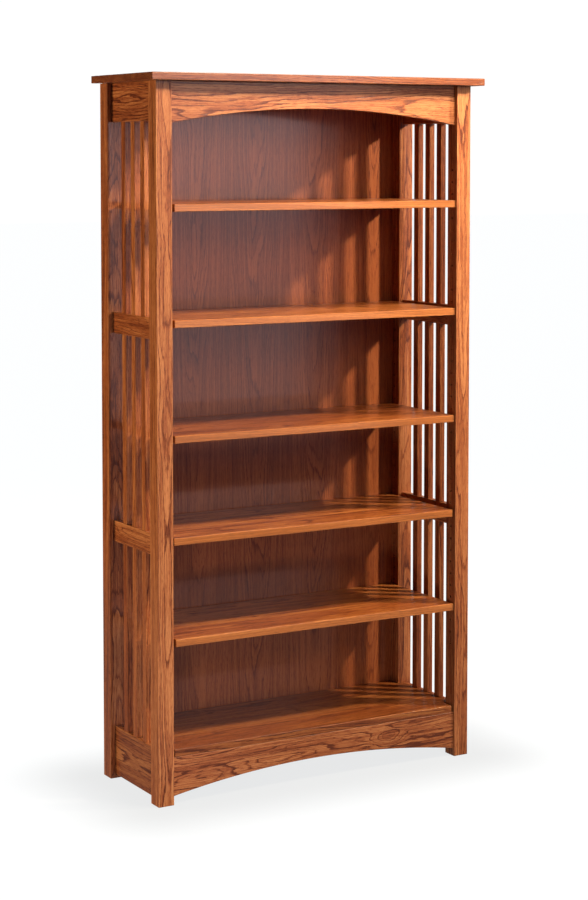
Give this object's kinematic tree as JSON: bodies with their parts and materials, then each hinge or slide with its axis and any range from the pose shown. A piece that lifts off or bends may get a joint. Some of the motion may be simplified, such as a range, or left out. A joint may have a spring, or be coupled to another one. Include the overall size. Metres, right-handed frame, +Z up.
{
  "type": "bookcase",
  "caption": "Open oak bookcase with slatted sides, square posts down to the floor, an arched header and apron, a back panel, and adjustable shelves that rest on pins in rows of holes.",
  "frame": {"origin": "on the floor, under the middle of the top board", "axes": "+Z up, +X to the right of someone facing the open front, +Y towards the back panel"},
  "size_m": [0.984, 0.354, 1.829],
  "materials": {
    "frame_oak": "stained oak, satin lacquer",
    "top_oak": "stained oak, satin lacquer",
    "slat_oak": "stained oak, satin lacquer",
    "shelf_oak": "stained oak, semi-gloss lacquer",
    "back_oak": "stained oak veneer, satin",
    "pin_brass": "turned, smooth"
  },
  "bodies": {
    "carcass": {"post_front_left": "frame_oak", "post_rear_left": "frame_oak", "post_front_right": "frame_oak", "post_rear_right": "frame_oak", "rail_bottom_left": "frame_oak", "rail_lower_left": "frame_oak", "rail_upper_left": "frame_oak", "rail_top_left": "frame_oak", "rail_bottom_right": "frame_oak", "rail_lower_right": "frame_oak", "rail_upper_right": "frame_oak", "rail_top_right": "frame_oak", "slat_left_under_lower_rail_front": "slat_oak", "slat_left_under_lower_rail_middle": "slat_oak", "slat_left_under_lower_rail_rear": "slat_oak", "slat_left_under_upper_rail_front": "slat_oak", "slat_left_under_upper_rail_middle": "slat_oak", "slat_left_under_upper_rail_rear": "slat_oak", "slat_left_under_top_rail_front": "slat_oak", "slat_left_under_top_rail_middle": "slat_oak", "slat_left_under_top_rail_rear": "slat_oak", "slat_right_under_lower_rail_front": "slat_oak", "slat_right_under_lower_rail_middle": "slat_oak", "slat_right_under_lower_rail_rear": "slat_oak", "slat_right_under_upper_rail_front": "slat_oak", "slat_right_under_upper_rail_middle": "slat_oak", "slat_right_under_upper_rail_rear": "slat_oak", "slat_right_under_top_rail_front": "slat_oak", "slat_right_under_top_rail_middle": "slat_oak", "slat_right_under_top_rail_rear": "slat_oak", "header_arched": "frame_oak", "apron_arched": "frame_oak", "top_board": "top_oak", "shelf_fixed_bottom": "shelf_oak", "back_panel": "back_oak"},
    "shelf_1": {"shelf_1": "shelf_oak"},
    "shelf_2": {"shelf_2": "shelf_oak"},
    "shelf_3": {"shelf_3": "shelf_oak"},
    "shelf_4": {"shelf_4": "shelf_oak"},
    "shelf_5": {"shelf_5": "shelf_oak"},
    "pin_1_front_left": {"pin_1_front_left": "pin_brass"},
    "pin_1_rear_left": {"pin_1_rear_left": "pin_brass"},
    "pin_1_front_right": {"pin_1_front_right": "pin_brass"},
    "pin_1_rear_right": {"pin_1_rear_right": "pin_brass"},
    "pin_2_front_left": {"pin_2_front_left": "pin_brass"},
    "pin_2_rear_left": {"pin_2_rear_left": "pin_brass"},
    "pin_2_front_right": {"pin_2_front_right": "pin_brass"},
    "pin_2_rear_right": {"pin_2_rear_right": "pin_brass"},
    "pin_3_front_left": {"pin_3_front_left": "pin_brass"},
    "pin_3_rear_left": {"pin_3_rear_left": "pin_brass"},
    "pin_3_front_right": {"pin_3_front_right": "pin_brass"},
    "pin_3_rear_right": {"pin_3_rear_right": "pin_brass"},
    "pin_4_front_left": {"pin_4_front_left": "pin_brass"},
    "pin_4_rear_left": {"pin_4_rear_left": "pin_brass"},
    "pin_4_front_right": {"pin_4_front_right": "pin_brass"},
    "pin_4_rear_right": {"pin_4_rear_right": "pin_brass"},
    "pin_5_front_left": {"pin_5_front_left": "pin_brass"},
    "pin_5_rear_left": {"pin_5_rear_left": "pin_brass"},
    "pin_5_front_right": {"pin_5_front_right": "pin_brass"},
    "pin_5_rear_right": {"pin_5_rear_right": "pin_brass"}
  },
  "joints": [
    {"name": "lift_shelf_1", "type": "slide", "parent": "carcass", "child": "shelf_1", "axis": [0, 0, 1], "range_m": [0, 0.128]},
    {"name": "lift_shelf_2", "type": "slide", "parent": "carcass", "child": "shelf_2", "axis": [0, 0, 1], "range_m": [0, 0.256]},
    {"name": "lift_shelf_3", "type": "slide", "parent": "carcass", "child": "shelf_3", "axis": [0, 0, 1], "range_m": [0, 0.256]},
    {"name": "lift_shelf_4", "type": "slide", "parent": "carcass", "child": "shelf_4", "axis": [0, 0, 1], "range_m": [0, 0.224]},
    {"name": "lift_shelf_5", "type": "slide", "parent": "carcass", "child": "shelf_5", "axis": [0, 0, 1], "range_m": [0, 0.224]},
    {"name": "pull_pin_1_front_left", "type": "slide", "parent": "carcass", "child": "pin_1_front_left", "axis": [1, 0, 0], "range_m": [0, 0.0115]},
    {"name": "pull_pin_1_rear_left", "type": "slide", "parent": "carcass", "child": "pin_1_rear_left", "axis": [1, 0, 0], "range_m": [0, 0.0115]},
    {"name": "pull_pin_1_front_right", "type": "slide", "parent": "carcass", "child": "pin_1_front_right", "axis": [-1, 0, 0], "range_m": [0, 0.0115]},
    {"name": "pull_pin_1_rear_right", "type": "slide", "parent": "carcass", "child": "pin_1_rear_right", "axis": [-1, 0, 0], "range_m": [0, 0.0115]},
    {"name": "pull_pin_2_front_left", "type": "slide", "parent": "carcass", "child": "pin_2_front_left", "axis": [1, 0, 0], "range_m": [0, 0.0115]},
    {"name": "pull_pin_2_rear_left", "type": "slide", "parent": "carcass", "child": "pin_2_rear_left", "axis": [1, 0, 0], "range_m": [0, 0.0115]},
    {"name": "pull_pin_2_front_right", "type": "slide", "parent": "carcass", "child": "pin_2_front_right", "axis": [-1, 0, 0], "range_m": [0, 0.0115]},
    {"name": "pull_pin_2_rear_right", "type": "slide", "parent": "carcass", "child": "pin_2_rear_right", "axis": [-1, 0, 0], "range_m": [0, 0.0115]},
    {"name": "pull_pin_3_front_left", "type": "slide", "parent": "carcass", "child": "pin_3_front_left", "axis": [1, 0, 0], "range_m": [0, 0.0115]},
    {"name": "pull_pin_3_rear_left", "type": "slide", "parent": "carcass", "child": "pin_3_rear_left", "axis": [1, 0, 0], "range_m": [0, 0.0115]},
    {"name": "pull_pin_3_front_right", "type": "slide", "parent": "carcass", "child": "pin_3_front_right", "axis": [-1, 0, 0], "range_m": [0, 0.0115]},
    {"name": "pull_pin_3_rear_right", "type": "slide", "parent": "carcass", "child": "pin_3_rear_right", "axis": [-1, 0, 0], "range_m": [0, 0.0115]},
    {"name": "pull_pin_4_front_left", "type": "slide", "parent": "carcass", "child": "pin_4_front_left", "axis": [1, 0, 0], "range_m": [0, 0.0115]},
    {"name": "pull_pin_4_rear_left", "type": "slide", "parent": "carcass", "child": "pin_4_rear_left", "axis": [1, 0, 0], "range_m": [0, 0.0115]},
    {"name": "pull_pin_4_front_right", "type": "slide", "parent": "carcass", "child": "pin_4_front_right", "axis": [-1, 0, 0], "range_m": [0, 0.0115]},
    {"name": "pull_pin_4_rear_right", "type": "slide", "parent": "carcass", "child": "pin_4_rear_right", "axis": [-1, 0, 0], "range_m": [0, 0.0115]},
    {"name": "pull_pin_5_front_left", "type": "slide", "parent": "carcass", "child": "pin_5_front_left", "axis": [1, 0, 0], "range_m": [0, 0.0115]},
    {"name": "pull_pin_5_rear_left", "type": "slide", "parent": "carcass", "child": "pin_5_rear_left", "axis": [1, 0, 0], "range_m": [0, 0.0115]},
    {"name": "pull_pin_5_front_right", "type": "slide", "parent": "carcass", "child": "pin_5_front_right", "axis": [-1, 0, 0], "range_m": [0, 0.0115]},
    {"name": "pull_pin_5_rear_right", "type": "slide", "parent": "carcass", "child": "pin_5_rear_right", "axis": [-1, 0, 0], "range_m": [0, 0.0115]}
  ]
}
